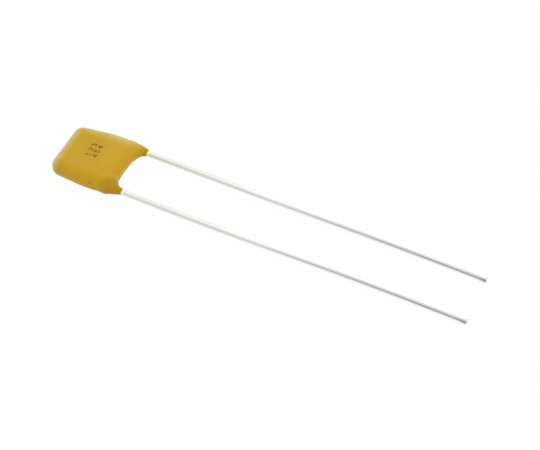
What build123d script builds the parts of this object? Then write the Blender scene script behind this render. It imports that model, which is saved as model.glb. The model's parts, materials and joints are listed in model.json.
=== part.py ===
from build123d import *

import os
from math import asin, cos, degrees, hypot, pi, radians, sin, sqrt

# Dipped multilayer ceramic capacitor with two long straight leads, lying on a table. Millimetres.
#
# The chip and its coat are drawn in the chip's frame: x runs from the middle of the chip towards the leads,
# y runs across them and z through the thickness. They sit a little askew on the leads, so they are turned
# about the middle of the two exits into the frame of the leads, whose x runs along the leads and whose origin
# is that middle. Last, the object is laid on the table as it comes to rest, tipped forward on the front edge
# of its coat and on its two lead tips, with the origin on the table under the middle of its box.

# Tinned wire leads, gripping the chip inside the coat and set out to the standard pitch before they leave
LEAD_PITCH = 5.08
LEAD_DIAMETER = 0.508
LEAD_FREE_LENGTH = 31.75
LEAD_TOE_IN = 0.2
LEAD_JOG_LENGTH = 1.2
LEAD_TOP_SETBACK = 0.45
LEAD_TIP_CHAMFER = 0.03

# Angle in degrees between the chip and its leads
CHIP_SKEW = 2.4

# Fired ceramic chip, with its terminals at the two ends in y
CHIP_LENGTH = 4.0
CHIP_WIDTH = 4.6
CHIP_THICKNESS = 1.2
CHIP_EDGE_RADIUS = 0.12

# Metal layers inside the chip, each reaching one of its two ends, in turn
ELECTRODE_COUNT = 12
ELECTRODE_THICKNESS = 0.01
ELECTRODE_COVER = 0.25
ELECTRODE_SIDE_MARGIN = 0.35
ELECTRODE_END_MARGIN = 0.45

# Metal terminations fired onto the two ends of the chip
CAP_END_THICKNESS = 0.06
CAP_BAND_THICKNESS = 0.03
CAP_BAND_WIDTH = 0.5
CAP_END_CHAMFER = 0.05

# Solder beads between the terminations and the leads
SOLDER_GAP = 0.04
SOLDER_FOOT_WIDTH = 0.9
SOLDER_END_MARGIN = 0.3
SOLDER_WRAP_ANGLE = 75.0
SOLDER_HOLLOW = 0.06

# Dipped epoxy coat: film thickness over what it covers, and the roll of its edges
COAT_FACE_FILM = 0.28
COAT_SIDE_FILM = 0.25
COAT_SIDE_START_FILM = 0.05
COAT_SIDE_END_FILM = 0.15
COAT_CLOSED_END_FILM = 0.62
COAT_LEAD_END_FILM = 0.77
COAT_WIDEST_SETBACK = 1.75
COAT_ARCH_DEPTH = 0.41
COAT_EDGE_FLAT = 0.06
COAT_CORNER_ROUNDING = 0.05

# Legs of the coat, where the epoxy was drawn down the leads
LEG_LENGTH = 0.92
LEG_TIP_FILM = 0.035
LEG_TIP_ROUNDING = 0.02
LEG_ROOT_DEPTH = 1.65
LEG_ROOT_WIDTH = 1.58
LEG_FACE_INSET = 0.2
LEG_SIDE_INSET = 0.02
LEG_OUTER_POWER = 3.35
LEG_INNER_POWER = 2.2
LEG_FACE_POWER = 0.82
LEG_STATIONS = 6
LEG_CREASE_RADIUS = 0.6

# Search for the angle of rest, in degrees
REST_TILT_LIMIT = 12.0
REST_TILT_STEPS = 16

# Sizes worked out from those above, in the chip's frame
lead_radius = LEAD_DIAMETER / 2
lead_offset = LEAD_PITCH / 2
chip_half_width = CHIP_WIDTH / 2
cap_face = CHIP_LENGTH / 2 + CAP_END_THICKNESS
grip_offset = cap_face + SOLDER_GAP + lead_radius
lead_top = -chip_half_width + LEAD_TOP_SETBACK
electrode_spacing = (CHIP_THICKNESS - 2 * ELECTRODE_COVER) / (ELECTRODE_COUNT - 1)

coat_half_thickness = CHIP_THICKNESS / 2 + CAP_BAND_THICKNESS + COAT_FACE_FILM
coat_edge_radius = coat_half_thickness - COAT_EDGE_FLAT
coat_closed_end = -chip_half_width - COAT_CLOSED_END_FILM
coat_lead_end = chip_half_width + COAT_LEAD_END_FILM
leg_tip = coat_lead_end + LEG_LENGTH
leg_tip_radius = lead_radius + LEG_TIP_FILM

# The coat's side is one long arc, from its closed corner past its widest place to beside the leg's tip
side_start = (coat_closed_end, grip_offset + lead_radius + COAT_SIDE_START_FILM)
side_widest = (
    coat_lead_end - COAT_WIDEST_SETBACK,
    max(lead_offset, grip_offset) + lead_radius + COAT_SIDE_FILM,
)
side_end = (leg_tip, lead_offset + lead_radius + COAT_SIDE_END_FILM)
side_arc = ThreePointArc(side_start, side_widest, side_end)

# From the chip's frame to the frame of the leads
on_leads = Rot(0, 0, CHIP_SKEW) * Pos(-leg_tip, 0, 0)


def both_sides(piece):
    """The piece drawn at +y, and its mirror image at -y."""
    return piece, mirror(piece, about=Plane.XZ)


def double_bend(start, start_way, end, end_way):
    """Two arcs that lead from one point and heading to another without a kink."""
    gap = end - start
    ways = start_way + end_way
    bend = 4 - ways.dot(ways)
    along = 2 * gap.dot(ways)
    reach = 2 * gap.dot(gap) / (along + sqrt(along**2 + 4 * bend * gap.dot(gap)))
    first_corner = start + start_way * reach
    last_corner = end - end_way * reach
    middle = (first_corner + last_corner) / 2
    return [
        TangentArc(start, middle, tangent=start_way),
        TangentArc(middle, end, tangent=last_corner - first_corner),
    ]


def lead(side):
    """A wire in the leads' frame, from the chip's end through a double bend to its exit and its cut tip."""
    skew = radians(CHIP_SKEW)
    toe_in = radians(LEAD_TOE_IN)
    top = (on_leads * Pos(lead_top, side * grip_offset, 0)).position
    jog_start = (on_leads * Pos(leg_tip - LEAD_JOG_LENGTH, side * grip_offset, 0)).position
    leg_exit = Vector(-side * lead_offset * sin(skew), side * lead_offset, 0)
    way_in = Vector(cos(skew), sin(skew), 0)
    way_out = Vector(cos(toe_in), -side * sin(toe_in), 0)
    straight = Line(leg_exit, leg_exit + way_out * LEAD_FREE_LENGTH)
    route = Wire([Line(top, jog_start), *double_bend(jog_start, way_in, leg_exit, way_out), straight])
    section = Plane(origin=top, z_dir=way_in) * Circle(lead_radius)
    wire = sweep(section, path=route)
    tip_edge = wire.edges().filter_by(GeomType.CIRCLE).sort_by(Axis.X)[-1]
    return chamfer(tip_edge, LEAD_TIP_CHAMFER)


def chip_block():
    """The outer form of the fired chip, with its long edges worn round by tumbling."""
    block = Box(CHIP_WIDTH, CHIP_LENGTH, CHIP_THICKNESS)
    return fillet(block.edges().filter_by(Axis.Y), CHIP_EDGE_RADIUS)


def electrode(number):
    """A metal layer, counted from the bottom: the odd ones reach the +y end, the even ones the -y end."""
    width = CHIP_WIDTH - 2 * ELECTRODE_SIDE_MARGIN
    length = CHIP_LENGTH - ELECTRODE_END_MARGIN
    level = (number - (ELECTRODE_COUNT + 1) / 2) * electrode_spacing
    shift = ELECTRODE_END_MARGIN / 2 if number % 2 else -ELECTRODE_END_MARGIN / 2
    return Pos(0, shift, level) * Box(width, length, ELECTRODE_THICKNESS)


def termination():
    """The five-sided metal cap on the chip's +y end, with a band round the chip's four sides."""
    depth = CAP_BAND_WIDTH + CAP_END_THICKNESS
    outside = Box(CHIP_WIDTH + 2 * CAP_BAND_THICKNESS, depth, CHIP_THICKNESS + 2 * CAP_BAND_THICKNESS)
    outside = fillet(outside.edges().filter_by(Axis.Y), CHIP_EDGE_RADIUS + CAP_BAND_THICKNESS)
    outside = chamfer(outside.faces().sort_by(Axis.Y)[-1].edges(), CAP_END_CHAMFER)
    return Pos(0, cap_face - depth / 2, 0) * outside - chip_block()


def solder():
    """The bead between the +y termination and its lead, drawn hollow on both flanks as solder wets."""
    wrap = radians(SOLDER_WRAP_ANGLE)
    foot = (cap_face, SOLDER_FOOT_WIDTH / 2)
    crest = (grip_offset + lead_radius * cos(wrap), lead_radius * sin(wrap))
    flank = hypot(crest[0] - foot[0], crest[1] - foot[1])
    inward = ((crest[1] - foot[1]) / flank, (foot[0] - crest[0]) / flank)
    waist = (
        (foot[0] + crest[0]) / 2 + inward[0] * SOLDER_HOLLOW,
        (foot[1] + crest[1]) / 2 + inward[1] * SOLDER_HOLLOW,
    )
    outline = [
        Line((foot[0], -foot[1]), foot),
        ThreePointArc(foot, waist, crest),
        Line(crest, (crest[0], -crest[1])),
        ThreePointArc((crest[0], -crest[1]), (waist[0], -waist[1]), (foot[0], -foot[1])),
    ]
    start = lead_top + SOLDER_END_MARGIN
    end = chip_half_width - SOLDER_END_MARGIN
    return extrude(Plane.YZ.offset(start) * make_face(outline), amount=end - start)


def half_width(x):
    """How far the coat's side stands from the chip's middle line."""
    middle = side_arc.arc_center
    return middle.Y + sqrt(side_arc.radius**2 - (x - middle.X) ** 2)


def coat_slab():
    """The main body of the coat: bowed at the sides, arched between the leads, its edges rolled over."""
    arch_foot = coat_lead_end + COAT_ARCH_DEPTH
    middle = (coat_closed_end + arch_foot) / 2
    side = ThreePointArc(side_start, (middle, half_width(middle)), (arch_foot, half_width(arch_foot)))
    outline = [
        Line((side_start[0], -side_start[1]), side_start),
        side,
        ThreePointArc(side @ 1, (coat_lead_end, 0), (arch_foot, -half_width(arch_foot))),
        mirror(side, about=Plane.XZ),
    ]
    sketch = fillet(make_face(outline).vertices(), coat_edge_radius + COAT_CORNER_ROUNDING)
    slab = extrude(sketch, amount=coat_half_thickness, both=True)
    rims = slab.faces().filter_by(Axis.Z).edges()
    return fillet(rims, coat_edge_radius)


def coat_leg():
    """Epoxy drawn down the +y lead: oval sections that shrink from inside the coat to the wire's collar."""
    root_x = coat_lead_end - LEG_ROOT_DEPTH
    root_inner = half_width(root_x) - LEG_SIDE_INSET - LEG_ROOT_WIDTH
    root_half_height = coat_half_thickness - LEG_FACE_INSET
    tip_inner = lead_offset - leg_tip_radius
    tip_drop = half_width(leg_tip) - LEG_SIDE_INSET - lead_offset - leg_tip_radius
    sections = []
    for station in range(LEG_STATIONS):
        share = station / (LEG_STATIONS - 1)
        x = root_x + (leg_tip - root_x) * share
        outer = half_width(x) - LEG_SIDE_INSET - tip_drop * share**LEG_OUTER_POWER
        inner = tip_inner + (root_inner - tip_inner) * (1 - share) ** LEG_INNER_POWER
        half_height = leg_tip_radius + (root_half_height - leg_tip_radius) * (1 - share) ** LEG_FACE_POWER
        place = Plane(origin=(x, (outer + inner) / 2, 0), x_dir=(0, 1, 0), z_dir=(1, 0, 0))
        sections.append(place * Ellipse((outer - inner) / 2, half_height))
    return loft(sections)


def epoxy_coating():
    """The outer form of the coat in one piece, with legs that flow out of its lead end."""
    slab = coat_slab()
    legs = both_sides(coat_leg())
    coat = slab + legs[0] + legs[1]
    creases = new_edges(slab, *legs, combined=coat)
    coat = fillet(creases, LEG_CREASE_RADIUS)
    tip_rims = coat.faces().filter_by(Axis.X).group_by(Axis.X)[-1].edges()
    return fillet(tip_rims, LEG_TIP_ROUNDING)


def lowest(piece, turn):
    """Height of the lowest point of a piece once it is turned."""
    return (turn * piece).bounding_box().min.Z


def tipped_forward(leads, tilt):
    """The turn that tips the object forward and rolls it until its two lead tips are equally low."""
    forward = Rot(0, tilt, 0)
    roll = asin((lowest(leads[1], forward) - lowest(leads[0], forward)) / LEAD_PITCH)
    return Rot(degrees(roll), 0, 0) * forward


def rest_place(coat, leads):
    """Where the object lies on the table: its coat and its lead tips touch it at the same time."""
    low = 0.0
    high = REST_TILT_LIMIT
    for _ in range(REST_TILT_STEPS):
        tilt = (low + high) / 2
        turn = tipped_forward(leads, tilt)
        if lowest(coat, turn) < lowest(leads[0], turn):
            low = tilt
        else:
            high = tilt
    box = (turn * Compound([coat, *leads])).bounding_box()
    return Pos(-box.center().X, -box.center().Y, -box.min.Z) * turn


def main():
    """Build every piece, lay the object on the table and write one file for each piece."""
    leads = [lead(1), lead(-1)]
    layers = [on_leads * electrode(number + 1) for number in range(ELECTRODE_COUNT)]
    block = on_leads * chip_block()
    caps = [on_leads * cap for cap in both_sides(termination())]
    beads = [on_leads * bead - wire for bead, wire in zip(both_sides(solder()), leads)]
    coat = on_leads * epoxy_coating() - [block, *caps, *beads, *leads]

    pieces = {"epoxy_coating": coat, "ceramic_body": block - layers}
    for index, layer in enumerate(layers):
        side = "right" if index % 2 else "left"
        pieces[f"{side}_electrode_{index // 2 + 1}"] = layer
    for side, end in (("left", 0), ("right", 1)):
        pieces[f"{side}_termination"] = caps[end]
        pieces[f"{side}_solder"] = beads[end]
        pieces[f"{side}_lead"] = leads[end]

    place = rest_place(coat, leads)
    os.makedirs("parts", exist_ok=True)
    for name, piece in pieces.items():
        export_step(place * piece, f"parts/{name}.step")
    print("angles of rest in degrees", place.orientation)
    print("origin to the middle of the exits", place.position)
    print("wire section", round(pi * lead_radius**2, 5))
    print("wire volumes", [round(wire.volume, 4) for wire in leads])


main()
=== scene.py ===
"""Looks of a dipped multilayer ceramic capacitor that lies on a pale studio floor.

Sizes are in millimetres and become metres where a mesh or a lamp is made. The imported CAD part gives
every solid. This script gives the epoxy coat a finer skin, prints a mark on it, makes the two wires
again as finer tubes, dresses each piece, and sets up the studio.
"""

from __future__ import annotations

import json
import logging
import math
from collections.abc import Mapping, Sequence
from dataclasses import dataclass, field
from enum import Enum, IntEnum

import bmesh
import bpy
from mathutils import Euler, Matrix, Vector
from mathutils import noise as field_noise
from mathutils.bvhtree import BVHTree

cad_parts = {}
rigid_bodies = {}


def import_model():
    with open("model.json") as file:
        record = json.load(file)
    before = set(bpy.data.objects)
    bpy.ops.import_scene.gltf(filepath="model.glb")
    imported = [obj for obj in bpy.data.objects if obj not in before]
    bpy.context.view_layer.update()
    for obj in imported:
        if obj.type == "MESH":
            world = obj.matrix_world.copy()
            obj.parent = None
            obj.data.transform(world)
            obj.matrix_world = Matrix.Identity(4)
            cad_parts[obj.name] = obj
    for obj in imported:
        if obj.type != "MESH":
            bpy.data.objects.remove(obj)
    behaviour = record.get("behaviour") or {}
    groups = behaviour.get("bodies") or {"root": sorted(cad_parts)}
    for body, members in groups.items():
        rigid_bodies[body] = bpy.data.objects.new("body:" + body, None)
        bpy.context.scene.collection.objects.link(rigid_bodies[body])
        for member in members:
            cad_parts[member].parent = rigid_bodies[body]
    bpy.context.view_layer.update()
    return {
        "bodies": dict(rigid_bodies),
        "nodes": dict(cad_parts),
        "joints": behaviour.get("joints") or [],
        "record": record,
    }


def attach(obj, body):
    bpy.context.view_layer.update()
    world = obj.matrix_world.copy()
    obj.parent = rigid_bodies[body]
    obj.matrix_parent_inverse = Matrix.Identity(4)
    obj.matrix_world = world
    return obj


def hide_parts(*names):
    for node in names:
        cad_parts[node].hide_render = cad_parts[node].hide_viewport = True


LOG = logging.getLogger("capacitor")

MM = 0.001
ROOT = "root"

WHITE = (1.0, 1.0, 1.0)

Colour = tuple[float, float, float]
Place = tuple[float, float, float]
Band = tuple[float, float]  # where something begins, and where it is full
Noise = tuple[float, float]  # cells per mm, and what the noise adds at most


class Side(IntEnum):
    """The object's two sides, as the sign of y in its frames."""

    LEFT = 1
    RIGHT = -1


class Part(Enum):
    """The kinds of piece inside and outside the coat, with the record's slot for each."""

    COAT = "coating"
    CHIP = "dielectric"
    LAYER = "electrode"
    CAP = "termination"
    SOLDER = "solder"
    WIRE = "lead_wire"


@dataclass(frozen=True)
class LocalFrame:
    """A frame of the object at rest, set in the row frame.

    Attributes:
        origin: Its origin in the row frame, in mm.
        turn: Its axes as the columns of a matrix.
    """

    origin: Vector
    turn: Matrix

    def at(self, x: float, y: float, z: float = 0.0) -> Vector:
        """The row-frame point, in mm, of a point given in this frame in mm."""
        return self.origin + self.turn @ Vector((x, y, z))

    def axis(self, index: int) -> Vector:
        """One of its three axes as a row-frame direction."""
        return self.turn.col[index].copy()

    def within(self, point: Vector) -> Vector:
        """The coordinates in this frame, in mm, of a row-frame point in mm."""
        return self.turn.transposed() @ (point - self.origin)


def clamped(value: float) -> float:
    """The value, held between 0 and 1."""
    return min(1.0, max(0.0, value))


def hump(value: float, start: float, end: float) -> float:
    """A soft hump: 0 up to start, 1 halfway, and 0 again from end on."""
    return math.sin(math.pi * clamped((value - start) / (end - start))) ** 2


def direction(azimuth: float, elevation: float) -> Vector:
    """The direction at an azimuth from the -Y side towards +X and at an elevation, in degrees."""
    a, e = math.radians(azimuth), math.radians(elevation)
    return Vector((math.sin(a) * math.cos(e), -math.cos(a) * math.cos(e), math.sin(e)))


def new_piece(name: str, work: bmesh.types.BMesh) -> bpy.types.Object:
    """Puts a piece in the scene.

    Args:
        name: Name of the piece and of its mesh.
        work: The mesh in metres, which is freed.

    Returns:
        The piece.
    """
    mesh = bpy.data.meshes.new(name)
    work.to_mesh(mesh)
    work.free()
    piece = bpy.data.objects.new(name, mesh)
    bpy.context.collection.objects.link(piece)
    return piece


@dataclass(frozen=True)
class Layout:
    """Where the object's own frames lie at rest, as the part's source reports them.

    Attributes:
        exits_middle: Middle of the two places where the wires leave the coat, in mm.
        tilt: Angle by which the object is tipped forward, in degrees.
        roll: Angle by which it leans to one side, in degrees.
        skew: Angle between the chip and its wires, in degrees.
        toe_in: Angle by which each wire runs towards the other, in degrees.
        pitch: Distance between the wires at their exits, in mm.
        wire_radius: Radius of the wires, in mm.
        free_length: Length of a wire from its exit to its tip, in mm.
        buried_length: Length of a wire inside the coat, in mm.
        jog_length: Length over which a wire moves out from the chip to its exit, in mm.
        grip: Distance of a wire from the coat's middle line beside the chip, in mm.
    """

    exits_middle: Place = (-12.4353, 0.09955, 0.87915)
    tilt: float = 1.12921
    roll: float = -0.04728
    skew: float = 2.4
    toe_in: float = 0.2
    pitch: float = 5.08
    wire_radius: float = 0.254
    free_length: float = 31.75
    buried_length: float = 5.84
    jog_length: float = 1.2
    grip: float = 2.354

    def _turned(self, about_z: float) -> Matrix:
        """Axes of a frame that is turned about the object's own vertical, as it lies at rest.

        Args:
            about_z: The angle of that turn, in degrees.

        Returns:
            The axes, as the columns of a matrix.
        """
        roll = Euler((math.radians(self.roll), 0, 0)).to_matrix()
        tilt = Euler((0, math.radians(self.tilt), 0)).to_matrix()
        return roll @ tilt @ Euler((0, 0, math.radians(about_z))).to_matrix()

    def chip(self) -> LocalFrame:
        """The coat's frame: x runs out of the lead end, and the origin is the middle of the exits."""
        return LocalFrame(Vector(self.exits_middle), self._turned(self.skew))

    def wire(self, side: Side) -> LocalFrame:
        """A wire's frame: x runs along it from its exit.

        Args:
            side: The wire's side.

        Returns:
            The frame of the wire's straight stretch.
        """
        leads = self._turned(0)
        back = -side * self.pitch / 2 * math.sin(math.radians(self.skew))
        origin = Vector(self.exits_middle) + leads @ Vector((back, side * self.pitch / 2, 0))
        return LocalFrame(origin, self._turned(-side * self.toe_in))


class Socket:
    """A node's output, with the operators that shader maths is written in."""

    def __init__(self, web: Web, output: bpy.types.NodeSocket) -> None:
        """Wraps an output of a node in the web."""
        self.web = web
        self.output = output

    def _math(self, operation: str, first: Socket | float, second: Socket | float = 0.0) -> Socket:
        """A Math node on two values."""
        return self.web.node("ShaderNodeMath", {"operation": operation}, {0: first, 1: second})

    def __add__(self, other: Socket | float) -> Socket:
        """self + other."""
        return self._math("ADD", self, other)

    __radd__ = __add__

    def __sub__(self, other: Socket | float) -> Socket:
        """self - other."""
        return self._math("SUBTRACT", self, other)

    def __rsub__(self, other: float) -> Socket:
        """other - self."""
        return self._math("SUBTRACT", other, self)

    def __mul__(self, other: Socket | float) -> Socket:
        """self * other."""
        return self._math("MULTIPLY", self, other)

    __rmul__ = __mul__

    def larger(self, other: Socket | float) -> Socket:
        """The larger of two values."""
        return self._math("MAXIMUM", self, other)

    def step(self, start: float, end: float) -> Socket:
        """A soft step, upwards or downwards.

        Args:
            start: The value at which it is still 0.
            end: The value at which it is 1, above or below the other.

        Returns:
            The step, from 0 to 1.
        """
        if start > end:
            return 1 - self.step(end, start)
        settings = {"interpolation_type": "SMOOTHSTEP"}
        inputs = {"Value": self, "From Min": start, "From Max": end}
        return self.web.node("ShaderNodeMapRange", settings, inputs)

    def about(self, middle: float, spread: float) -> Socket:
        """The value, which runs from 0 to 1, made to vary by a spread about a middle."""
        return self * spread + (middle - spread / 2)


class Web:
    """The node tree of one material or world, filled by a few calls."""

    def __init__(self, tree: bpy.types.NodeTree) -> None:
        """Empties the tree."""
        self.tree = tree
        tree.nodes.clear()

    def make(
        self,
        kind: str,
        settings: Mapping[str, object] | None = None,
        inputs: Mapping[str | int, object] | None = None,
    ) -> bpy.types.Node:
        """Adds a node.

        Args:
            kind: The node's type.
            settings: Its attributes, which are set first.
            inputs: Values or links of its input sockets, by name or number.

        Returns:
            The node.
        """
        node = self.tree.nodes.new(kind)
        for name, value in (settings or {}).items():
            setattr(node, name, value)
        for key, value in (inputs or {}).items():
            socket = node.inputs[key]
            if isinstance(value, Socket):
                self.tree.links.new(value.output, socket)
            elif socket.type == "RGBA" and len(value) == 3:
                socket.default_value = (*value, 1.0)
            else:
                socket.default_value = value
        return node

    def node(
        self,
        kind: str,
        settings: Mapping[str, object] | None = None,
        inputs: Mapping[str | int, object] | None = None,
        output: str | int = 0,
    ) -> Socket:
        """Adds a node, as make does, and returns the output of a name or number."""
        return Socket(self, self.make(kind, settings, inputs).outputs[output])

    def measure(self, operation: str, first: Socket, second: Vector | Colour) -> Socket:
        """A number worked out from two vectors by a Vector Math node."""
        inputs = {0: first, 1: second}
        return self.node("ShaderNodeVectorMath", {"operation": operation}, inputs, output="Value")

    def mix(self, factor: Socket | float, first: Socket | Colour, second: Socket | Colour) -> Socket:
        """A colour between two others."""
        settings = {"data_type": "RGBA", "clamp_factor": True}
        return self.node("ShaderNodeMix", settings, {0: factor, 6: first, 7: second}, output=2)

    def place(self) -> Socket:
        """The point of the surface in the row frame, in mm."""
        point = self.node("ShaderNodeTexCoord", output="Object")
        return self.node("ShaderNodeVectorMath", {"operation": "SCALE"}, {0: point, "Scale": 1 / MM})

    def along(self, point: Socket, frame: LocalFrame, index: int) -> Socket:
        """One coordinate of a point in a frame of the object, in mm: 0, 1 or 2 for x, y or z."""
        axis = frame.axis(index)
        return self.measure("DOT_PRODUCT", point, axis) - frame.origin.dot(axis)

    def facing(self, way: Colour) -> Socket:
        """Cosine of the angle between the surface's own normal and a direction."""
        normal = self.node("ShaderNodeTexCoord", output="Normal")
        return self.measure("DOT_PRODUCT", normal, way)

    def away(self, point: Socket, centre: Vector) -> Socket:
        """Distance of a point from a centre, in mm."""
        return self.measure("DISTANCE", point, centre)

    def stretched(self, point: Socket, frame: LocalFrame, shares: Colour) -> Socket:
        """A point in a frame, with each axis scaled, for a texture that runs along the frame."""
        parts = {index: self.along(point, frame, index) * shares[index] for index in range(3)}
        return self.node("ShaderNodeCombineXYZ", inputs=parts)

    def grain(
        self, point: Socket, scale: float = 1.0, detail: float = 2.0, roughness: float = 0.5
    ) -> Socket:
        """Noise from about 0 to 1, with a scale in cells per mm."""
        inputs = {"Vector": point, "Scale": scale, "Detail": detail, "Roughness": roughness}
        return self.node("ShaderNodeTexNoise", inputs=inputs)

    def drift(self, point: Socket, noise: Noise) -> Socket:
        """Noise from 0 to about its size."""
        cells, size = noise
        return self.grain(point, cells) * size

    def uneven(self, point: Socket, noise: Noise, middle: float) -> Socket:
        """A value that noise moves about its middle."""
        return self.drift(point, noise) + (middle - noise[1] / 2)

    def bump(self, height: Socket, depth: float, normal: Socket | None = None) -> Socket:
        """A normal from a height.

        Args:
            height: The height, from 0 to 1.
            depth: Its real depth in mm.
            normal: A normal to build on.

        Returns:
            The normal.
        """
        inputs: dict[str, object] = {"Height": height, "Distance": depth * MM, "Strength": 1.0}
        if normal is not None:
            inputs["Normal"] = normal
        return self.node("ShaderNodeBump", inputs=inputs)

    def surface(self, shader: Socket) -> None:
        """Sends a shader to the material's output."""
        self.make("ShaderNodeOutputMaterial", inputs={"Surface": shader})

    def principled(self, inputs: Mapping[str | int, object]) -> None:
        """Makes the material's surface a Principled shader with some values or links."""
        self.surface(self.node("ShaderNodeBsdfPrincipled", inputs=inputs))


def new_material(name: str) -> tuple[bpy.types.Material, Web]:
    """Makes an empty material.

    Args:
        name: Its name.

    Returns:
        The material, and the web that fills it.
    """
    material = bpy.data.materials.new(name)
    material.use_nodes = True
    return material, Web(material.node_tree)


def dress(piece: bpy.types.Object, material: bpy.types.Material) -> None:
    """Gives a piece its one material."""
    piece.data.materials.clear()
    piece.data.materials.append(material)


@dataclass(frozen=True)
class Fade:
    """Where something shows, and how much of it.

    Attributes:
        band: Values between which it comes in, softly.
        share: How much of it shows past the band.
    """

    band: Band
    share: float = 1.0

    def of(self, value: Socket) -> Socket:
        """How much shows at a value."""
        return value.step(*self.band) * self.share


@dataclass(frozen=True)
class Mottle:
    """Irregular patches of another colour.

    Attributes:
        cells: Patches per mm.
        detail: How finely they are broken up.
        fade: Values of the noise at which the colour shows.
    """

    cells: float
    detail: float
    fade: Fade

    def mask(self, web: Web, point: Socket) -> Socket:
        """How much of the colour shows at a point."""
        return self.fade.of(web.grain(point, self.cells, self.detail))


@dataclass(frozen=True)
class Spot:
    """A round place on the coat where another colour shows, with a soft edge.

    Attributes:
        middle: Its middle in the coat's frame, in mm.
        fade: Distances from the middle at which the colour shows, in mm.
    """

    middle: Place
    fade: Fade

    def mask(self, web: Web, point: Socket, chip: LocalFrame, drift: Socket) -> Socket:
        """How much of the colour shows at a point, with an edge that drifts outwards."""
        return self.fade.of(web.away(point, chip.at(*self.middle)) + drift)


@dataclass(frozen=True)
class EpoxyFinish:
    """Mustard dipped epoxy: evenly filled, satin, a little wavy, and thin over the leg tips.

    Attributes:
        body: Colour of the thick coat.
        deep: Colour of its darker clouds.
        green: Colour of its greener clouds.
        thin: Colour of thin film on and beside the legs, and of painted shade at the right leg.
        painted_edge_sheen: Painted sheen: a paler colour at the upper edges of the closed end and the
            left side.
        tip: Colour of the last of the film where the wires leave it.
        speck: Colour of the speck of dirt.
        clouds: Where the deep colour shows.
        patches: Where the green colour shows.
        flecks: Where fine dots of the deep colour show.
        drift: Unevenness of the thin places' edges, in mm.
        rim_drift: Share of that unevenness at the rims' edges.
        end_rim: Places along the coat between which the sheen at the closed end comes in, in mm.
        side_rim: Places across the coat between which the sheen at the left side comes in, in mm.
        side_rim_start: Places along the coat between which that sheen comes in behind the leg, in mm.
        rim_height: Heights over the coat's middle between which both rims come in, in mm.
        tip_band: Length over which the colour turns at the leg tips, in mm.
        tip_drift: Unevenness of that band's edge, in mm.
        speck_drift: Unevenness of the speck's edge, in mm.
        roughness: Roughness of the skin.
        uneven: How the roughness varies.
        gloss: Refractive index of the skin, which sets the strength of its gloss.
        sheen: Share of the pale sheen that shows where the skin turns away.
        sheen_width: How far that sheen spreads.
        wave: Waves of the dip, with their depth in mm.
        peel: Fine grain, with its depth in mm.
    """

    body: Colour = (0.52, 0.305, 0.007)
    deep: Colour = (0.475, 0.27, 0.004)
    green: Colour = (0.475, 0.325, 0.008)
    thin: Colour = (0.36, 0.185, 0.002)
    painted_edge_sheen: Colour = (0.57, 0.46, 0.14)
    tip: Colour = (0.37, 0.235, 0.006)
    speck: Colour = (0.22, 0.12, 0.001)
    clouds: Mottle = Mottle(0.45, 2.0, Fade((0.35, 0.7), 0.7))
    patches: Mottle = Mottle(0.9, 3.0, Fade((0.5, 0.75), 0.6))
    flecks: Mottle = Mottle(9.0, 3.0, Fade((0.62, 0.8), 0.12))
    drift: Noise = (1.3, 0.7)
    rim_drift: float = 0.2
    end_rim: Band = (-5.75, -6.8)
    side_rim: Band = (1.5, 2.9)
    side_rim_start: Band = (-0.5, -1.7)
    rim_height: Band = (-0.1, 0.6)
    tip_band: float = 0.5
    tip_drift: Noise = (5.0, 0.06)
    speck_drift: Noise = (12.0, 0.08)
    roughness: float = 0.42
    uneven: Noise = (3.0, 0.12)
    gloss: float = 1.24
    sheen: float = 0.3
    sheen_width: float = 0.4
    wave: Noise = (0.8, 0.02)
    peel: Noise = (11.0, 0.002)

    def material(
        self, chip: LocalFrame, thin_and_shaded_places: Sequence[Spot], speck: Spot
    ) -> bpy.types.Material:
        """Makes the coat's material.

        Args:
            chip: The coat's frame, with its origin between the leg tips.
            thin_and_shaded_places: Where the film is thin, with painted shade at the right leg.
            speck: Where the speck of dirt sits.

        Returns:
            The material.
        """
        material, web = new_material("dipped_epoxy")
        point = web.place()
        colour = web.mix(self.clouds.mask(web, point), self.body, self.deep)
        colour = web.mix(self.patches.mask(web, point), colour, self.green)
        colour = web.mix(self.flecks.mask(web, point), colour, self.deep)
        drift = web.drift(point, self.drift)
        # Thin film beside the legs; the larger place, at the right leg, is also painted shade.
        for place in thin_and_shaded_places:
            colour = web.mix(place.mask(web, point, chip, drift), colour, self.thin)
        # Painted sheen: a paler colour at the upper edges of the closed end and the left side.
        colour = web.mix(self._painted_edge_sheen_share(web, point, chip, drift), colour, self.painted_edge_sheen)
        to_tip = web.along(point, chip, 0) + web.drift(point, self.tip_drift)
        colour = web.mix(to_tip.step(-self.tip_band, 0.0), colour, self.tip)
        dirt = speck.mask(web, point, chip, web.drift(point, self.speck_drift))
        colour = web.mix(dirt, colour, self.speck)
        (wave_cells, wave_depth), (peel_cells, peel_depth) = self.wave, self.peel
        waves = web.bump(web.grain(point, wave_cells, detail=1.0), wave_depth)
        inputs = {
            "Base Color": colour,
            "Roughness": web.uneven(point, self.uneven, self.roughness),
            "IOR": self.gloss,
            "Sheen Weight": self.sheen,
            "Sheen Roughness": self.sheen_width,
            "Normal": web.bump(web.grain(point, peel_cells), peel_depth, waves),
        }
        web.principled(inputs)
        return material

    def _painted_edge_sheen_share(self, web: Web, point: Socket, chip: LocalFrame, drift: Socket) -> Socket:
        """How much of the painted sheen shows, at the closed end and along the left side.

        Args:
            web: The material's web.
            point: The point in the row frame.
            chip: The coat's frame.
            drift: Unevenness of the thin places' edges, in mm.

        Returns:
            The share, from 0 to 1.
        """
        shift = drift * self.rim_drift - self.rim_drift * self.drift[1] / 2
        x, y, z = (web.along(point, chip, index) + shift for index in range(3))
        left = y.step(*self.side_rim) * x.step(*self.side_rim_start)
        return x.step(*self.end_rim).larger(left) * z.step(*self.rim_height)


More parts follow.
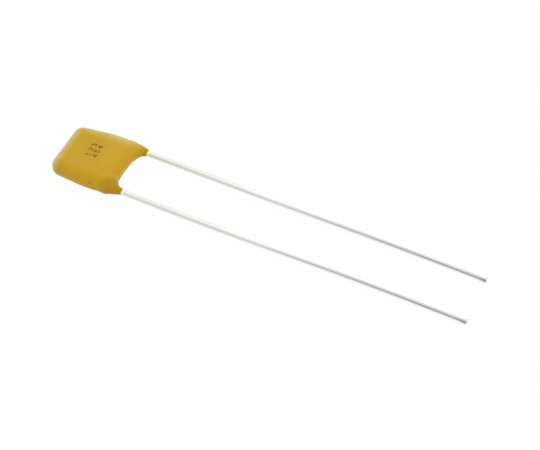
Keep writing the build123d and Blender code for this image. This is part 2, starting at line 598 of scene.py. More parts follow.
@dataclass(frozen=True)
class InkFinish:
    """Brown print that has sunk into the coat, denser in some places than in others.

    Attributes:
        ink: Colour of dense print.
        wear_and_shade: Colour where the coat shows through.
        density: Where the print is dense.
        roughness: Its roughness.
        uneven: How the roughness varies.
        gloss: Refractive index, which sets the strength of its gloss.
    """

    ink: Colour = (0.2, 0.1, 0.001)
    wear_and_shade: Colour = (0.36, 0.2, 0.002)
    density: Mottle = Mottle(3.2, 3.0, Fade((0.4, 0.58)))
    roughness: float = 0.42
    uneven: Noise = (5.0, 0.1)
    gloss: float = 1.24

    def material(self) -> bpy.types.Material:
        """Makes the print's material.

        Returns:
            The material.
        """
        material, web = new_material("brown_print")
        point = web.place()
        inputs = {
            "Base Color": web.mix(self.density.mask(web, point), self.wear_and_shade, self.ink),
            "Roughness": web.uneven(point, self.uneven, self.roughness),
            "IOR": self.gloss,
        }
        web.principled(inputs)
        return material


@dataclass(frozen=True)
class TinnedWireFinish:
    """Tinned wire with faint draw marks, a smear of epoxy at its exit and a bare cut tip.

    Its colour holds painted light: a painted highlight on the upper side, a painted reflection along
    the lower edge, and painted shade on the underside and towards the tip. A fade along the wire goes
    by shares of its length, and one round it by the cosine of the angle between its surface and the
    upper direction.

    Attributes:
        tin: Colour of the plating.
        painted_tip_shade: Painted shade, a darker colour towards the tip, where the wire nears the
            floor.
        dull: Its duller colour, where it has oxidised and beside the coat.
        painted_highlight: Painted highlight on the upper side, and painted reflection along the lower
            edge.
        shade: Painted shade, its colour low down, between those two.
        smear: Colour of the thin epoxy that crept along the wire.
        bare_metal_and_tip_shade: Colour of the bare metal at the tip, and of painted shade on the tip's
            underside.
        upper: The direction that the painted highlight faces.
        streak_cells: Draw marks per mm, along and across the wire.
        streaks: Where the draw marks are oxidised.
        blotch_cells: Blotches per mm, along and across the wire.
        blotches: Where the blotches are oxidised.
        tip_shade_fade: Where that painted shade shows along the wire.
        tip_shade_drift: How far that wanders, in mm.
        oxidised: Where the oxidised places show along the wire.
        beside_coat: Where the painted highlight is left off the upper side, along the wire.
        beside_coat_dull: How much of the dull colour shows there.
        painted_highlight_side: Where the painted highlight shows round the wire.
        painted_reflection_edge: Where the painted reflection shows again, along the lower edge.
        underside: Where the painted shade shows round the wire.
        underside_end: Where it ends at the lower edge.
        underside_along: Where it shows along the wire.
        smear_band: Distances past the exit between which the smear shows, in mm.
        smear_drift: Unevenness of its edge, in mm.
        tip_shade_length: Length behind the tip over which painted shade darkens the underside, in mm.
        wear_and_shade: Where that painted shade shows round the wire.
        cut_band: Distances from the tip between which the cut face's colour comes in, in mm.
        cut: Heights between which the bare metal shows on that face, in mm.
        roughness: Roughness of the plating.
        uneven: How much the roughness varies with the draw marks.
        smear_rough: How much rougher the smear is.
        smear_film: How much of the metal's shine the smear hides.
        haze: Where the plating is rougher beside the coat.
        draw_depth: Depth of the draw marks, in mm.
    """

    tin: Colour = (0.76, 0.755, 0.715)
    painted_tip_shade: Colour = (0.6, 0.6, 0.575)
    dull: Colour = (0.6, 0.6, 0.57)
    painted_highlight: Colour = (0.87, 0.87, 0.855)
    shade: Colour = (0.22, 0.22, 0.2)
    smear: Colour = (0.87, 0.82, 0.6)
    bare_metal_and_tip_shade: Colour = (0.2, 0.195, 0.185)
    upper: Colour = (0.0, 0.766, 0.642)
    streak_cells: Place = (0.25, 7.0, 7.0)
    streaks: Fade = Fade((0.45, 0.75), 0.5)
    blotch_cells: Place = (0.6, 2.0, 2.0)
    blotches: Fade = Fade((0.55, 0.8), 0.35)
    tip_shade_fade: Fade = Fade((0.05, 0.95))
    tip_shade_drift: float = 3.0
    oxidised: Fade = Fade((0.1, 0.5))
    beside_coat: Fade = Fade((0.42, 0.25))
    beside_coat_dull: float = 0.5
    painted_highlight_side: Fade = Fade((0.45, 0.95))
    painted_reflection_edge: Fade = Fade((-0.35, -0.75), 0.8)
    underside: Fade = Fade((0.05, -0.3), 0.72)
    underside_end: Fade = Fade((-0.35, -0.7), 0.9)
    underside_along: Fade = Fade((0.15, 1.1))
    smear_band: Band = (0.5, 0.2)
    smear_drift: Noise = (6.0, 0.12)
    tip_shade_length: float = 0.8
    wear_and_shade: Fade = Fade((0.3, -0.2), 0.5)
    cut_band: Band = (0.04, 0.03)
    cut: Fade = Fade((0.12, -0.1), 0.8)
    roughness: float = 0.2
    uneven: float = 0.16
    smear_rough: float = 0.15
    smear_film: float = 0.7
    haze: Fade = Fade((0.45, 0.1), 0.34)
    draw_depth: float = 0.0006

    def material(self, name: str, wire: LocalFrame, length: float) -> bpy.types.Material:
        """Makes one wire's material.

        Args:
            name: Name of the material.
            wire: The wire's frame, with its origin at the exit.
            length: Length of the wire from its exit to its tip, in mm.

        Returns:
            The material.
        """
        material, web = new_material(name)
        point = web.place()
        reach = web.along(point, wire, 0)
        share = reach * (1 / length)
        side = web.facing(self.upper)
        streaks = web.grain(web.stretched(point, wire, self.streak_cells), detail=3.0)
        blotches = web.grain(web.stretched(point, wire, self.blotch_cells), detail=3.0)

        # Painted shade: darker towards the tip, where the wire nears the floor.
        painted_tip_shade = self.tip_shade_fade.of(share + blotches * (self.tip_shade_drift / length))
        colour = web.mix(painted_tip_shade, self.tin, self.painted_tip_shade)
        oxide = self.streaks.of(streaks) + self.blotches.of(blotches)
        colour = web.mix(oxide * self.oxidised.of(share), colour, self.dull)
        # Painted light round the wire: highlight, reflection and shade.
        colour = self._painted_light(web, colour, side, share)
        smear = (reach + web.drift(point, self.smear_drift)).step(*self.smear_band)
        colour = web.mix(smear, colour, self.smear)
        # Painted shade on the tip's underside, in the bare metal's colour.
        wear_and_shade = reach.step(length - self.tip_shade_length, length) * self.wear_and_shade.of(side)
        face = reach.step(*(length - distance for distance in self.cut_band))
        cut = face * self.cut.of(web.along(point, wire, 2))
        inputs = {
            "Base Color": web.mix(cut.larger(wear_and_shade), colour, self.bare_metal_and_tip_shade),
            "Roughness": streaks.about(self.roughness, self.uneven)
            + smear * self.smear_rough
            + self.haze.of(share),
            "Metallic": 1 - smear * self.smear_film,
            "Normal": web.bump(streaks, self.draw_depth),
        }
        web.principled(inputs)
        return material

    def _painted_light(self, web: Web, colour: Socket, side: Socket, share: Socket) -> Socket:
        """The plating's colour with painted highlight, painted reflection and painted shade round it.

        Args:
            web: The material's web.
            colour: The colour before.
            side: Cosine of the angle between the surface and the upper direction.
            share: Place along the wire, as a share of its length.

        Returns:
            The colour.
        """
        beside_coat = self.beside_coat.of(share)
        # Painted highlight on the upper side, left off beside the coat.
        colour = web.mix(self.painted_highlight_side.of(side) * (1 - beside_coat), colour, self.painted_highlight)
        colour = web.mix(beside_coat * self.beside_coat_dull, colour, self.dull)
        # Painted reflection along the lower edge.
        colour = web.mix(self.painted_reflection_edge.of(side), colour, self.painted_highlight)
        # Painted shade on the underside, growing towards the tip.
        low = self.underside.of(side) * (1 - self.underside_end.of(side))
        return web.mix(low * self.underside_along.of(share), colour, self.shade)


@dataclass(frozen=True)
class FiredFinish:
    """A fired or cast surface with grain, for the ceramic, its metal layers, the caps and the solder.

    Attributes:
        name: Name of the material.
        light: Its lighter colour.
        dark: Its darker colour.
        roughness: Its roughness.
        grains: Grains per mm.
        depth: Depth of the grain, in mm.
        metallic: 1 for a metal and 0 for the ceramic.
        on_grains: Where the darker colour shows on the grains.
        in_patches: Where it shows in wide patches.
        patch_cells: Patches per grain.
        uneven: How much the roughness varies.
    """

    name: str
    light: Colour
    dark: Colour
    roughness: float
    grains: float
    depth: float
    metallic: float = 1.0
    on_grains: Fade = Fade((0.3, 0.7), 0.6)
    in_patches: Fade = Fade((0.4, 0.7), 0.4)
    patch_cells: float = 0.15
    uneven: float = 0.2

    def material(self) -> bpy.types.Material:
        """Makes the material of one kind of piece.

        Returns:
            The material.
        """
        material, web = new_material(self.name)
        point = web.place()
        grain = web.grain(point, self.grains, detail=4.0, roughness=0.6)
        patches = web.grain(point, self.patch_cells * self.grains)
        darker = self.on_grains.of(grain) + self.in_patches.of(patches)
        inputs = {
            "Base Color": web.mix(darker, self.light, self.dark),
            "Roughness": grain.about(self.roughness, self.uneven),
            "Metallic": self.metallic,
            "Normal": web.bump(grain, self.depth),
        }
        web.principled(inputs)
        return material


FIRED = {
    Part.CHIP: FiredFinish(
        name="fired_ceramic",
        light=(0.47, 0.39, 0.30),
        dark=(0.36, 0.28, 0.21),
        roughness=0.7,
        grains=22.0,
        depth=0.002,
        metallic=0.0,
    ),
    Part.LAYER: FiredFinish(
        name="fired_metal_layer",
        light=(0.56, 0.54, 0.50),
        dark=(0.42, 0.40, 0.37),
        roughness=0.45,
        grains=30.0,
        depth=0.001,
    ),
    Part.CAP: FiredFinish(
        name="fired_silver_cap",
        light=(0.80, 0.79, 0.76),
        dark=(0.62, 0.61, 0.58),
        roughness=0.42,
        grains=16.0,
        depth=0.003,
    ),
    Part.SOLDER: FiredFinish(
        name="tin_solder",
        light=(0.70, 0.70, 0.69),
        dark=(0.54, 0.54, 0.54),
        roughness=0.3,
        grains=8.0,
        depth=0.004,
    ),
}


@dataclass(frozen=True)
class Drip:
    """How the epoxy of one leg departs from the even form, as every dip does.

    Attributes:
        side: The leg's side.
        swell: How far its belly stands out, in mm.
        belly: Where the belly begins and ends along the coat, in mm.
        fillet: How far its inner side stands out near the tip, in mm.
        reach: How much farther it runs along the wire, in mm.
        lean: How far its tip lies to the left, in mm.
        radius: Distance from the wire's line within which it moves, in mm.
        tip_length: Length behind the tip over which its reach and lean come in, in mm.
        hollow: Where the fillet on its inner side begins and ends along the coat, in mm.
        hang_back: Share of the reach by which its inner side hangs back.
    """

    side: Side
    swell: float
    belly: tuple[float, float]
    fillet: float = 0.0
    reach: float = 0.0
    lean: float = 0.0
    radius: float = 1.2
    tip_length: float = 0.7
    hollow: tuple[float, float] = (-1.5, -0.1)
    hang_back: float = 1.2

    def moved(self, place: Vector, axis_offset: float) -> Vector:
        """Where a point of the coat goes.

        Args:
            place: The point in the coat's frame, in mm.
            axis_offset: Distance of the wires from the coat's middle line, in mm.

        Returns:
            The point's new place in that frame.
        """
        radial = Vector((0.0, place.y - self.side * axis_offset, place.z))
        if place.x < self.belly[0] or radial.length > self.radius:
            return place
        outwards = radial.normalized()
        inner = max(0.0, -self.side * outwards.y)
        near = clamped(2 * (1.0 - radial.length / self.radius))
        towards_tip = clamped((place.x + self.tip_length) / self.tip_length) ** 2
        ahead = Vector((self.reach * (1 - self.hang_back * inner), self.lean, 0.0)) * towards_tip
        fillet = self.fillet * inner * hump(place.x, *self.hollow)
        return place + ahead + outwards * ((self.swell * hump(place.x, *self.belly) + fillet) * near)


@dataclass
class DippedCoat:
    """The epoxy coat: a finer skin over the CAD solid, softened as a dipped coat is.

    Attributes:
        layout: Where the object's frames lie.
        node: Name of the CAD node.
        weld: Distance within which points of the solid's mesh are one, in mm.
        hole: How far the edge of a wire's hole may lie from the exits' plane, in mm, and from the
        wire's line, in radii of the wire.
        voxel: Cell of the skin's mesh, in mm.
        smoothing: Rounds of smoothing that take off the facets.
        wave: Height of the unevenness of the dip, in mm.
        wave_length: Length of its waves, in mm.
        wave_band: Distances behind the leg tips between which the waves come in, in mm.
        drips: How each leg's drip departs from the even form.
        rim_width: Width of the rims at the leg tips, which aren't smoothed, in mm.
        thin_and_shaded_places: Where the film is thin, beside the legs, with painted shade at the right
            leg.
        speck: Where the speck of dirt sits.
        clear_height: Height over the coat's middle that clears its upper face, in mm.
        finish: The coat's finish.
    """

    layout: Layout
    node: str = "epoxy_coating"
    weld: float = 0.0005
    hole: tuple[float, float] = (0.01, 1.06)
    voxel: float = 0.05
    smoothing: int = 8
    wave: float = 0.015
    wave_length: float = 1.7
    wave_band: Band = (0.1, 1.1)
    drips: tuple[Drip, ...] = (
        Drip(Side.LEFT, swell=0.06, belly=(-5.4, -1.5)),
        Drip(Side.LEFT, swell=0.11, belly=(-2.1, 0.25), fillet=0.08, lean=0.04),
        Drip(Side.RIGHT, swell=0.04, belly=(-5.0, -1.7)),
        Drip(Side.RIGHT, swell=-0.03, belly=(-2.7, -1.2)),
        Drip(Side.RIGHT, swell=0.08, belly=(-2.3, -0.1), fillet=0.28, reach=0.14, lean=0.05),
    )
    rim_width: float = 0.12
    thin_and_shaded_places: tuple[Spot, ...] = (
        Spot((-0.75, -2.75, 0.1), Fade((1.9, 0.855), 0.7)),
        Spot((-0.35, 2.45, 0.2), Fade((1.1, 0.495), 0.25)),
    )
    speck: Spot = Spot((-2.77, -2.99, 0.33), Fade((0.176, 0.064), 0.85))
    clear_height: float = 3.0
    finish: EpoxyFinish = field(default_factory=EpoxyFinish)

    def build(self, frame: Mapping[str, object]) -> bpy.types.Object:
        """Makes the skin, which stands for the CAD node.


        Returns:
            The skin.
        """
        outside = self._outside(frame["nodes"][self.node])
        skin = new_piece("coat_skin", self._softened(self._remeshed(outside)))
        skin.data.shade_smooth()
        dress(skin, self.finish.material(self.layout.chip(), self.thin_and_shaded_places, self.speck))
        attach(skin, ROOT)
        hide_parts(self.node)
        return skin

    def _outside(self, solid: bpy.types.Object) -> bmesh.types.BMesh:
        """The solid's outer surface in mm, closed over the two holes that the wires fill.

        Args:
            solid: The CAD node, whose inner wall follows the chip and the wires.

        Returns:
            A closed mesh.
        """
        work = bmesh.new()
        work.from_mesh(solid.data)
        bmesh.ops.scale(work, vec=(1 / MM,) * 3, verts=work.verts)
        bmesh.ops.remove_doubles(work, verts=work.verts, dist=self.weld)
        chip = self.layout.chip()
        along, radii = self.hole
        rims = set()
        for vert in work.verts:
            x, y, z = chip.within(vert.co)
            reach = math.hypot(abs(y) - self.layout.pitch / 2, z)
            if abs(x) < along and reach < radii * self.layout.wire_radius:
                rims.add(vert.index)
        seed = max(work.faces, key=lambda face: face.calc_center_median().z)
        outer = {seed}
        waiting = [seed]
        while waiting:
            for edge in waiting.pop().edges:
                if edge.verts[0].index in rims and edge.verts[1].index in rims:
                    continue
                for face in edge.link_faces:
                    if face not in outer:
                        outer.add(face)
                        waiting.append(face)
        bmesh.ops.delete(work, geom=[face for face in work.faces if face not in outer], context="FACES")
        bmesh.ops.holes_fill(work, edges=[edge for edge in work.edges if edge.is_boundary])
        return work

    def _remeshed(self, work: bmesh.types.BMesh) -> bpy.types.Mesh:
        """An even mesh over a closed one, still in mm.

        Args:
            work: The closed mesh, which is freed.

        Returns:
            The even mesh.
        """
        helper = new_piece("coat_outside", work)
        coarse = helper.data
        even = helper.modifiers.new("even", "REMESH")
        even.mode = "VOXEL"
        even.voxel_size = self.voxel
        shape = helper.evaluated_get(bpy.context.evaluated_depsgraph_get())
        result = bpy.data.meshes.new_from_object(shape)
        bpy.data.objects.remove(helper)
        bpy.data.meshes.remove(coarse)
        return result

    def _softened(self, mesh: bpy.types.Mesh) -> bmesh.types.BMesh:
        """Moves the legs' drips, smooths the skin and gives it the slow waves of a dip.

        Args:
            mesh: The even mesh in mm, which is removed.

        Returns:
            The skin in metres.
        """
        work = bmesh.new()
        work.from_mesh(mesh)
        bpy.data.meshes.remove(mesh)
        chip = self.layout.chip()
        for vert in work.verts:
            place = chip.within(vert.co)
            for drip in self.drips:
                place = drip.moved(place, self.layout.pitch / 2)
            vert.co = chip.at(*place)
        loose = [vert for vert in work.verts if chip.within(vert.co).x < -self.rim_width]
        axes = {"use_axis_x": True, "use_axis_y": True, "use_axis_z": True}
        for _ in range(self.smoothing):
            bmesh.ops.smooth_vert(work, verts=loose, factor=0.5, **axes)
        work.normal_update()
        still, full = self.wave_band
        for vert in work.verts:
            share = clamped((-chip.within(vert.co).x - still) / (full - still))
            swell = field_noise.noise(vert.co / self.wave_length)
            vert.co += vert.normal * (self.wave * swell * share)
        bmesh.ops.scale(work, vec=(MM,) * 3, verts=work.verts)
        return work

    def top_point(self, tree: BVHTree, x: float, y: float) -> Vector:
        """The point of the coat's upper face above a place in the coat's frame.

        Args:
            tree: The skin, in metres.
            x: Place along the coat, in mm.
            y: Place across it, in mm.

        Returns:
            The point in metres.
        """
        chip = self.layout.chip()
        start = chip.at(x, y, self.clear_height) * MM
        hit, _, _, _ = tree.ray_cast(start, -chip.axis(2))
        return hit


STROKES = {
    "1": [[(0.25, 0.8), (0.5, 1.0), (0.5, 0.0)], [(0.25, 0.0), (0.75, 0.0)]],
    "2": [[(0.1, 0.8), (0.3, 1.0), (0.7, 1.0), (0.9, 0.8), (0.9, 0.6), (0.1, 0.0), (0.9, 0.0)]],
    "3": [[(0.1, 0.9), (0.5, 1.0), (0.85, 0.8), (0.5, 0.52), (0.9, 0.25), (0.5, 0.0), (0.1, 0.1)]],
    "4": [[(0.7, 0.0), (0.7, 1.0), (0.05, 0.3), (0.95, 0.3)]],
    "5": [[(0.85, 1.0), (0.2, 1.0), (0.15, 0.55), (0.6, 0.6), (0.9, 0.3), (0.6, 0.0), (0.1, 0.05)]],
    "6": [[(0.8, 1.0), (0.3, 0.75), (0.1, 0.3), (0.4, 0.0), (0.85, 0.2), (0.6, 0.52), (0.15, 0.4)]],
}


@dataclass
class PrintedMark:
    """Plain digits printed on the coat's upper face, as ribbons that follow it.

    Attributes:
        layout: Where the object's frames lie.
        rows: The rows of digits.
        centre: Middle of the mark in the coat's frame, x and y in mm.
        digit: Width and height of a digit, in mm.
        spacing: Distance between digits and between rows, in mm.
        turn: Angle of the rows from the coat's y axis, in degrees.
        stroke: Width of a stroke, in mm.
        lift: Height of the print over the coat, in mm.
        finish: The print's finish.
    """

    layout: Layout
    rows: tuple[str, str] = ("123", "456")
    centre: tuple[float, float] = (-3.91, 0.14)
    digit: tuple[float, float] = (0.4, 0.42)
    spacing: tuple[float, float] = (0.6, 0.56)
    turn: float = 3.0
    stroke: float = 0.12
    lift: float = 0.004
    finish: InkFinish = field(default_factory=InkFinish)

    def build(self, coat: DippedCoat, skin: bpy.types.Object) -> bpy.types.Object:
        """Makes the print.

        Args:
            coat: The coat that carries it.
            skin: The coat's skin.

        Returns:
            The print.
        """
        mesh = skin.data
        tree = BVHTree.FromPolygons([v.co for v in mesh.vertices], [p.vertices for p in mesh.polygons])
        work = bmesh.new()
        lift = self.layout.chip().axis(2) * (self.lift * MM)
        for row, text in enumerate(self.rows):
            for column, digit in enumerate(text):
                for stroke in STROKES[digit]:
                    places = [self._place(row, column, *point) for point in stroke]
                    self._ribbon(work, coat, tree, places, lift)
        mark = new_piece("printed_mark", work)
        dress(mark, self.finish.material())
        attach(mark, ROOT)
        return mark

    def _place(self, row: int, column: int, across: float, up: float) -> Vector:
        """A point of a digit in the coat's frame, x and y in mm.

        Args:
            row: Row of the digit, from the top.
            column: Its place in the row.
            across: Share of its width, from its left.
            up: Share of its height, from its foot.

        Returns:
            The point.
        """
        columns, rows = len(self.rows[row]), len(self.rows)
        wide, high = self.spacing
        reading = (column - (columns - 1) / 2 + (across - 0.5) * self.digit[0] / wide) * wide
        rising = ((rows - 1) / 2 - row) * high + (up - 0.5) * self.digit[1]
        point = Vector((-rising, reading))
        turn = math.radians(self.turn)
        cosine, sine = math.cos(turn), math.sin(turn)
        turned = Vector((point.x * cosine - point.y * sine, point.x * sine + point.y * cosine))
        return turned + Vector(self.centre)

    def _ribbon(
        self,
        work: bmesh.types.BMesh,
        coat: DippedCoat,
        tree: BVHTree,
        places: Sequence[Vector],
        lift: Vector,
    ) -> None:
        """Lays a stroke on the coat as a chain of small quads with round ends.

        Args:
            work: The mesh that takes it.
            coat: The coat that carries it.
            tree: The coat's skin.
            places: The stroke's corners in the coat's frame, in mm.
            lift: How far it stands over the skin, in metres.
        """
        half = self.stroke / 2
        spots: list[Vector] = []
        for first, last in zip(places, places[1:]):
            count = max(2, math.ceil((last - first).length / half))
            spots += [first.lerp(last, index / count) for index in range(count)]
        spots.append(places[-1])
        rims = []
        for index, spot in enumerate(spots):
            ahead = spots[min(index + 1, len(spots) - 1)] - spots[max(index - 1, 0)]
            side = Vector((-ahead.y, ahead.x)).normalized() * half
            points = (coat.top_point(tree, *(spot + side)), coat.top_point(tree, *(spot - side)))
            rims.append([work.verts.new(point + lift) for point in points])
        for (a, b), (c, d) in zip(rims, rims[1:]):
            work.faces.new((a, b, d, c))


@dataclass
class WireLead:
    """One tinned wire: a fine round tube on the CAD wire's line, not quite straight, with a cut tip.

    Attributes:
        layout: Where the object's frames lie.
        side: The wire's side.
        bow: How far the wire swings to either side of its line, in mm.
        points: Points round the wire.
        step: Distance between its rings, in mm.
        jog_rings: Rings where it moves out from the chip to its exit.
        tip_chamfer: Width of the edge at its tip, in mm.
        tip_hollow: How far the middle of its cut face lies back, in mm.
        sharp: Angle from which an edge looks sharp, in degrees.
        dent: Depth of its dents, in mm.
        dent_cells: Dents per radian round the wire.
        dent_stretch: Angle round the wire that counts as one mm along it, in radians.
        finish: The wire's finish.
    """

    layout: Layout
    side: Side
    bow: float = 0.0
    points: int = 64
    step: float = 0.4
    jog_rings: int = 10
    tip_chamfer: float = 0.03
    tip_hollow: float = 0.004
    sharp: float = 30.0
    dent: float = 0.0015
    dent_cells: float = 1.3
    dent_stretch: float = 0.4
    finish: TinnedWireFinish = field(default_factory=TinnedWireFinish)

    @property
    def name(self) -> str:
        """Name of the CAD node."""
        return f"{self.side.name.lower()}_lead"

    def build(self) -> bpy.types.Object:
        """Makes the wire.

        Returns:
            The tube, which stands for the CAD node.
        """
        work = bmesh.new()
        loops = [self._ring(work, reach, radius) for reach, radius in self._stations()]
        for first, second in zip(loops, loops[1:]):
            for index in range(self.points):
                after = (index + 1) % self.points
                work.faces.new((first[index], first[after], second[after], second[index]))
        work.faces.new(list(reversed(loops[0])))
        work.faces.new(loops[-1])
        bmesh.ops.scale(work, vec=(MM,) * 3, verts=work.verts)
        tube = new_piece(f"{self.name}_tube", work)
        tube.data.shade_smooth()
        tube.data.set_sharp_from_angle(angle=math.radians(self.sharp))
        wire, length = self.layout.wire(self.side), self.layout.free_length
        dress(tube, self.finish.material(f"tinned_{self.name}", wire, length))
        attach(tube, ROOT)
        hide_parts(self.name)
        return tube

    def _stations(self) -> list[tuple[float, float]]:
        """Where the rings lie past the exit, and their radii.

        Returns:
            The (distance, radius) pairs, in mm, from the buried end to the middle of the cut face.
        """
        layout = self.layout
        length, radius = layout.free_length, layout.wire_radius
        end = length - self.tip_chamfer
        count = round(end / self.step)
        reaches = [-layout.buried_length]
        reaches += [-layout.jog_length * (1 - ring / self.jog_rings) for ring in range(self.jog_rings)]
        reaches += [end * ring / count for ring in range(count + 1)]
        tip = [(length, radius - self.tip_chamfer), (length - self.tip_hollow, radius / 2)]
        return [(reach, radius) for reach in reaches] + tip

    def _centre(self, reach: float) -> Vector:
        """A point of the wire's centre line.

        Args:
            reach: Distance past its exit, in mm, below 0 inside the coat.

        Returns:
            The point in mm.
        """
        layout = self.layout
        if reach >= 0:
            swing = self.bow * math.sin(2 * math.pi * reach / layout.free_length)
            return layout.wire(self.side).at(reach, swing)
        into = clamped(-reach / layout.jog_length)
        ease = into**2 * (3 - 2 * into)
        across = layout.pitch / 2 + (layout.grip - layout.pitch / 2) * ease
        return layout.chip().at(reach, self.side * across)

    def _ring(self, work: bmesh.types.BMesh, reach: float, radius: float) -> list[bmesh.types.BMVert]:
        """A ring of points round the wire.

        Args:
            work: The mesh that gets the points.
            reach: Where the ring lies past the exit, in mm.
            radius: Its radius, in mm.

        Returns:
            The points.
        """
        centre = self._centre(reach)
        nudge = 0.01
        way = (self._centre(reach + nudge) - self._centre(reach - nudge)).normalized()
        up = (Vector((0, 0, 1)) - way * way.z).normalized()
        aside = up.cross(way)
        ring = []
        for index in range(self.points):
            angle = 2 * math.pi * index / self.points
            spoke = aside * math.cos(angle) + up * math.sin(angle)
            where = (centre * self.dent_stretch + spoke) * self.dent_cells
            dent = self.dent * abs(field_noise.noise(where)) if reach > 0 else 0.0
            ring.append(work.verts.new(centre + spoke * (radius - dent)))
        return ring


# How far each wire swings to either side of its line, in mm.
BOWS = {Side.LEFT: -0.05, Side.RIGHT: -0.09}


@dataclass
class ChipStack:
    """The fired chip with its metal layers, caps and solder, sealed inside the coat.

    Attributes:
        layers_per_side: Number of metal layers that reach each end.
    """

    layers_per_side: int = 6

    def nodes(self) -> dict[str, Part]:
        """The CAD nodes inside the coat.

        Returns:
            What each is, by its name.
        """
        found = {"ceramic_body": Part.CHIP}
        for side in (side.name.lower() for side in Side):
            found[f"{side}_termination"] = Part.CAP
            found[f"{side}_solder"] = Part.SOLDER
            for number in range(1, self.layers_per_side + 1):
                found[f"{side}_electrode_{number}"] = Part.LAYER
        return found

    def build(self, frame: Mapping[str, object]) -> list[bpy.types.Object]:
        """Dresses each piece.


        Returns:
            The pieces.
        """
        finishes = {part: finish.material() for part, finish in FIRED.items()}
        pieces = []
        for name, part in self.nodes().items():
            piece = frame["nodes"][name]
            dress(piece, finishes[part])
            pieces.append(piece)
        return pieces


def stand(
    thing: bpy.types.Object, azimuth: float, elevation: float, distance: float, target: Vector
) -> None:
    """Puts a lamp or a camera in the scene, facing a target.

    Args:
        thing: The lamp or camera.
        azimuth: Where it stands, in degrees from the -Y side towards +X.
        elevation: Its height, in degrees.
        distance: Its distance from the target, in mm.
        target: What it faces, in mm.
    """
    back = direction(azimuth, elevation)
    thing.location = (target + back * distance) * MM
    thing.rotation_euler = (-back).to_track_quat("-Z", "Y").to_euler()
    bpy.context.collection.objects.link(thing)


@dataclass(frozen=True)
class SoftLamp:
    """A large square lamp that faces the object.

    Attributes:
        name: Its name.
        azimuth: Where it stands, in degrees from the -Y side towards +X.
        elevation: Its height, in degrees.
        watts: Its power.
        size: Its side, in mm.
        distance: Its distance, in mm.
    """

    name: str
    azimuth: float
    elevation: float
    watts: float
    size: float = 420.0
    distance: float = 450.0

    def build(self, target: Vector) -> bpy.types.Object:
        """Hangs the lamp.

        Args:
            target: What it faces, in mm.

        Returns:
            The lamp.
        """
        light = bpy.data.lights.new(self.name, "AREA")
        light.shape = "SQUARE"
        light.size = self.size * MM
        light.energy = self.watts
        lamp = bpy.data.objects.new(self.name, light)
        stand(lamp, self.azimuth, self.elevation, self.distance, target)
        return lamp


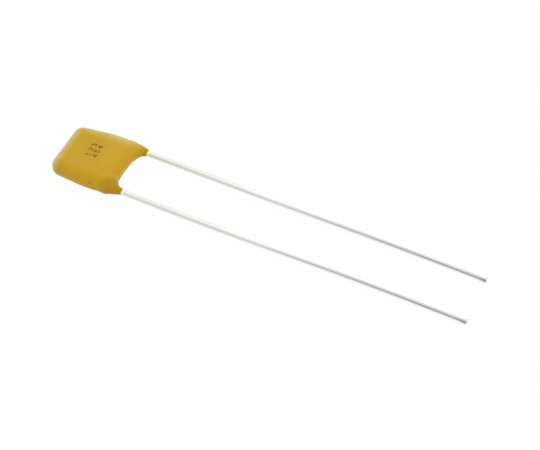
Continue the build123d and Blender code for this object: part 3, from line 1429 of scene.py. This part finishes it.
@dataclass
class Studio:
    """The pale floor, the soft lamps, the world and the camera.

    Attributes:
        azimuth: Where the camera stands, in degrees from the -Y side towards +X.
        elevation: Its height, in degrees.
        distance: Its distance from the point it looks at, in mm.
        target: That point on the floor, x and y in mm.
        scale: Pixels per mm there.
        image_width: Width of the image, in pixels.
        sensor: Width of the sensor, in mm.
        clip: Distances between which the camera sees, in metres.
        floor_size: Side of the floor, in mm.
        floor_colour: Colour of the floor.
        floor_glow: How much of it is plain white on the camera's rays, and on mirrored and passed ones.
        sky: Strength of the world's light on the object.
        room: Strength of what mirrors show of the room in front of the floor.
        room_height: Height of its middle, in degrees.
        room_edge: Cosines of the angles from its middle at which it begins and is full.
        lamps: The lamps.
    """

    azimuth: float = 26.2655
    elevation: float = 46.9199
    distance: float = 150.0
    target: tuple[float, float] = (0.4403, 0.4285)
    scale: float = 11.8154
    image_width: int = 540
    sensor: float = 36.0
    clip: tuple[float, float] = (0.01, 10.0)
    floor_size: float = 4000.0
    floor_colour: Colour = (0.82, 0.82, 0.82)
    floor_glow: tuple[float, float] = (0.95, 0.9)
    sky: float = 0.78
    room: float = 0.7
    room_height: float = 8.0
    room_edge: tuple[float, float] = (0.5, 0.97)
    lamps: tuple[SoftLamp, ...] = (
        SoftLamp("right_lamp", azimuth=95.0, elevation=32.0, watts=0.55),
        SoftLamp("back_lamp", azimuth=207.0, elevation=45.0, watts=0.5, size=520.0),
        SoftLamp("front_lamp", azimuth=40.0, elevation=22.0, watts=0.18),
        SoftLamp("left_lamp", azimuth=-90.0, elevation=22.0, watts=0.3),
        SoftLamp("high_lamp", azimuth=-42.0, elevation=55.0, watts=0.12),
    )

    def build(self) -> None:
        """Sets up the whole studio."""
        self._floor()
        self._world()
        middle = Vector((0, 0, 0))
        for lamp in self.lamps:
            lamp.build(middle)
        self._camera()
        bpy.context.scene.view_settings.view_transform = "Standard"

    @staticmethod
    def _seen(web: Web, direct: float, passed: float) -> Socket:
        """A share on the rays that show the background.

        Args:
            web: The node tree.
            direct: The share on the camera's own rays.
            passed: The share on rays that a surface mirrored or passed on.

        Returns:
            The share, which is 0 on every other ray.
        """
        path = web.make("ShaderNodeLightPath")
        rays = ("Is Camera Ray", "Is Glossy Ray", "Is Transmission Ray")
        camera, mirrored, through = (Socket(web, path.outputs[ray]) for ray in rays)
        return (camera * direct).larger(mirrored.larger(through) * passed)

    def _floor(self) -> None:
        """A wide pale floor that keeps the object's shadow but shows white."""
        half = self.floor_size / 2 * MM
        work = bmesh.new()
        bmesh.ops.create_grid(work, x_segments=2, y_segments=2, size=half)
        floor = new_piece("floor", work)
        material, web = new_material("pale_floor")
        paint = web.node("ShaderNodeBsdfDiffuse", inputs={"Color": self.floor_colour})
        glow = web.node("ShaderNodeEmission", inputs={"Color": WHITE, "Strength": 1.0})
        share = self._seen(web, *self.floor_glow)
        web.surface(web.node("ShaderNodeMixShader", inputs={0: share, 1: paint, 2: glow}))
        dress(floor, material)

    def _world(self) -> None:
        """Even white light, at strength 1 where it is seen."""
        world = bpy.data.worlds.new("studio_air")
        world.use_nodes = True
        web = Web(world.node_tree)
        front = direction(self.azimuth, self.room_height)
        way = web.node("ShaderNodeTexCoord", output="Generated")
        mirrored = web.node("ShaderNodeLightPath", output="Is Glossy Ray")
        in_room = web.measure("DOT_PRODUCT", way, front).step(*self.room_edge)
        dim = mirrored * in_room * (1.0 - self.room)
        strength = self._seen(web, 1.0, 1.0) * (1.0 - self.sky) + self.sky - dim
        air = web.node("ShaderNodeBackground", inputs={"Color": WHITE, "Strength": strength})
        web.make("ShaderNodeOutputWorld", inputs={"Surface": air})
        bpy.context.scene.world = world

    def _camera(self) -> None:
        """A camera at the photograph's place."""
        data = bpy.data.cameras.new("camera")
        data.sensor_width = self.sensor
        data.lens = self.sensor * self.scale * self.distance / self.image_width
        data.clip_start, data.clip_end = self.clip
        camera = bpy.data.objects.new("camera", data)
        stand(camera, self.azimuth, self.elevation, self.distance, Vector((*self.target, 0.0)))
        bpy.context.scene.camera = camera


def main() -> None:
    """Builds the object's looks and the studio, and logs the new pieces' face counts."""
    logging.basicConfig(level=logging.INFO, format="%(name)s: %(message)s")
    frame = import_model()
    layout = Layout()

    coat = DippedCoat(layout)
    skin = coat.build(frame)
    LOG.info("coat skin: %d faces", len(skin.data.polygons))
    mark = PrintedMark(layout).build(coat, skin)
    LOG.info("printed mark: %d faces", len(mark.data.polygons))
    for side, bow in BOWS.items():
        wire = WireLead(layout, side, bow).build()
        LOG.info("%s: %d faces", wire.name, len(wire.data.polygons))
    for piece in ChipStack().build(frame):
        LOG.info("%s dressed", piece.name)
    Studio().build()


if __name__ == "__main__":
    main()
